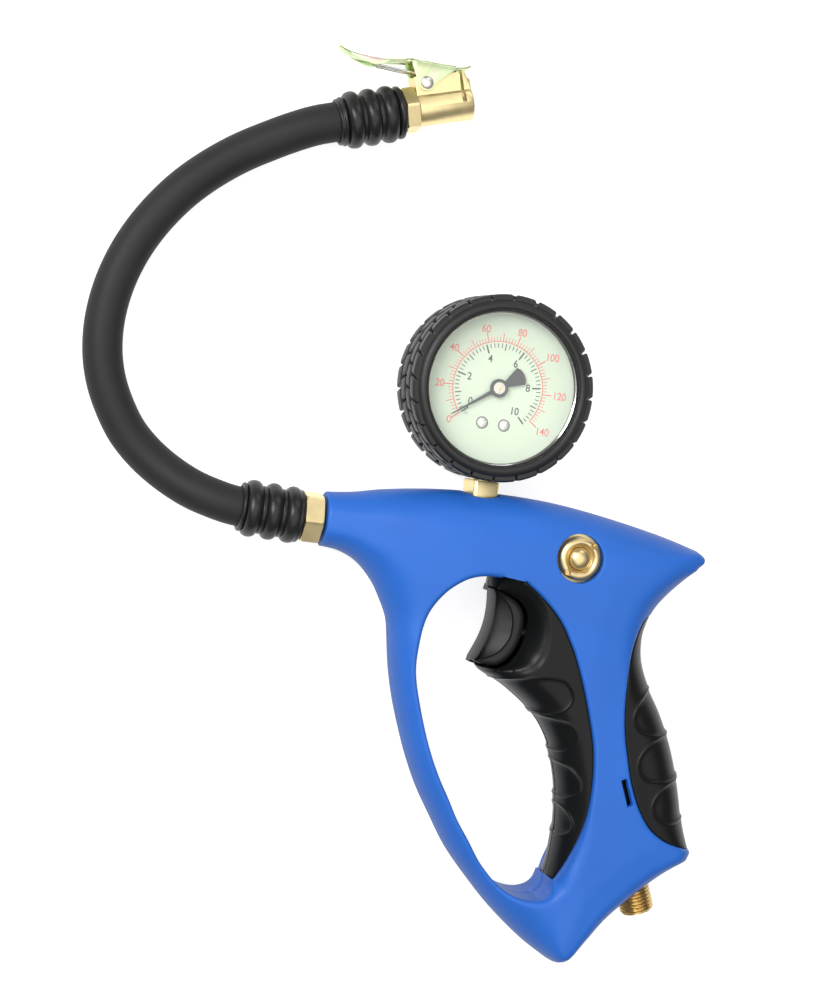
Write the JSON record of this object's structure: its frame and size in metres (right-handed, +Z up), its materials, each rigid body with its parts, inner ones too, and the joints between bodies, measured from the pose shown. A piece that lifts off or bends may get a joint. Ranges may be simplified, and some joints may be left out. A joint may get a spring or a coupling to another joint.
{
  "type": "portable tire inflator",
  "caption": "Hand-held air-line tyre inflator: pistol grip with finger guard and trigger, dial gauge in a tread-lugged boot, bleed button, short hose with a clip-on valve chuck.",
  "frame": {"origin": "under the middle of the body and gauge (hose and chuck not counted), on the surface that the inflator lies on", "axes": "+Z up through the left side of the inflator, which lies on its right side; +Y from the barrel towards the gauge; +X along the barrel towards the tail"},
  "size_m": [0.2531, 0.3291, 0.0352],
  "materials": {
    "blue_plastic": "semi-matt moulded",
    "grip_rubber": "matt",
    "black_plastic": "semi-matt moulded",
    "hose_rubber": "matt",
    "boot_rubber": "matt",
    "seal_rubber": "matt",
    "brass": "turned",
    "plated_steel": "yellow zinc plated",
    "zinc_steel": "satin",
    "spring_steel": "drawn wire",
    "chrome": "polished",
    "lens": "clear polished",
    "dial_paint": "pale matt with red and dark grey scales",
    "needle_paint": "matt"
  },
  "bodies": {
    "body": {"cover_left": "blue_plastic", "cover_right": "blue_plastic", "front_grip": "grip_rubber", "rear_grip": "grip_rubber", "cover_screws": "zinc_steel", "valve_body": "brass", "air_tube": "zinc_steel", "inlet_adapter": "brass", "inlet_washer": "seal_rubber", "valve_spring": "spring_steel", "valve_cap": "brass", "bleed_spring": "spring_steel", "bleed_bezel": "brass", "hose_nut": "brass", "hose_sleeve_rear": "hose_rubber", "hose": "hose_rubber", "hose_sleeve_front": "hose_rubber", "chuck_nut": "brass", "chuck_body": "brass", "chuck_seal": "seal_rubber", "chuck_pin": "brass", "clip_rivet": "plated_steel", "gauge_stem": "brass", "gauge_case": "zinc_steel", "gauge_boot": "boot_rubber", "gauge_bezel": "chrome", "gauge_lens": "lens", "gauge_dial": "dial_paint", "dial_screws": "zinc_steel", "bourdon_tube": "brass", "movement_frame": "brass"},
    "trigger": {"trigger": "black_plastic"},
    "valve_stem": {"valve_stem": "zinc_steel", "valve_seal": "seal_rubber"},
    "bleed_button": {"bleed_button": "brass", "bleed_seal": "seal_rubber"},
    "needle": {"gauge_needle": "needle_paint", "needle_arbor": "brass"},
    "sector": {"sector_gear": "brass"},
    "clip_lever": {"clip_lever": "plated_steel", "clip_spring": "spring_steel"}
  },
  "joints": [
    {"name": "stem_slide", "type": "slide", "parent": "body", "child": "valve_stem", "axis": [0.9903, -0.1392, 0], "range_m": [0, 0.005], "stiffness_N_per_m": 900, "springref_m": -0.004, "deforming": ["valve_spring"]},
    {"name": "trigger_slide", "type": "slide", "parent": "body", "child": "trigger", "axis": [0.9903, -0.1392, 0], "range_m": [0, 0.005]},
    {"name": "bleed_slide", "type": "slide", "parent": "body", "child": "bleed_button", "axis": [0, 0, -1], "range_m": [0, 0.002], "stiffness_N_per_m": 900, "springref_m": -0.002, "deforming": ["bleed_spring"]},
    {"name": "sector_turn", "type": "hinge", "parent": "body", "child": "sector", "pos_m": [-0.0211, 0.0728, 0.0131], "axis": [0, 0, 1], "range_deg": [0, 35.7], "stiffness_Nm_per_rad": 0.002, "springref_deg": -5.73},
    {"name": "needle_turn", "type": "hinge", "parent": "body", "child": "needle", "pos_m": [-0.0211, 0.0888, 0.017], "axis": [0, 0, -1], "range_deg": [0, 250]},
    {"name": "lever_turn", "type": "hinge", "parent": "body", "child": "clip_lever", "pos_m": [-0.06246, 0.1959, 0.0107], "axis": [0, 0, 1], "range_deg": [0, 14], "stiffness_Nm_per_rad": 1.2, "springref_deg": -8.59}
  ],
  "couplings": [
    {"joint": "trigger_slide", "follows": "stem_slide", "ratio": 1},
    {"joint": "needle_turn", "follows": "sector_turn", "ratio": 7}
  ]
}
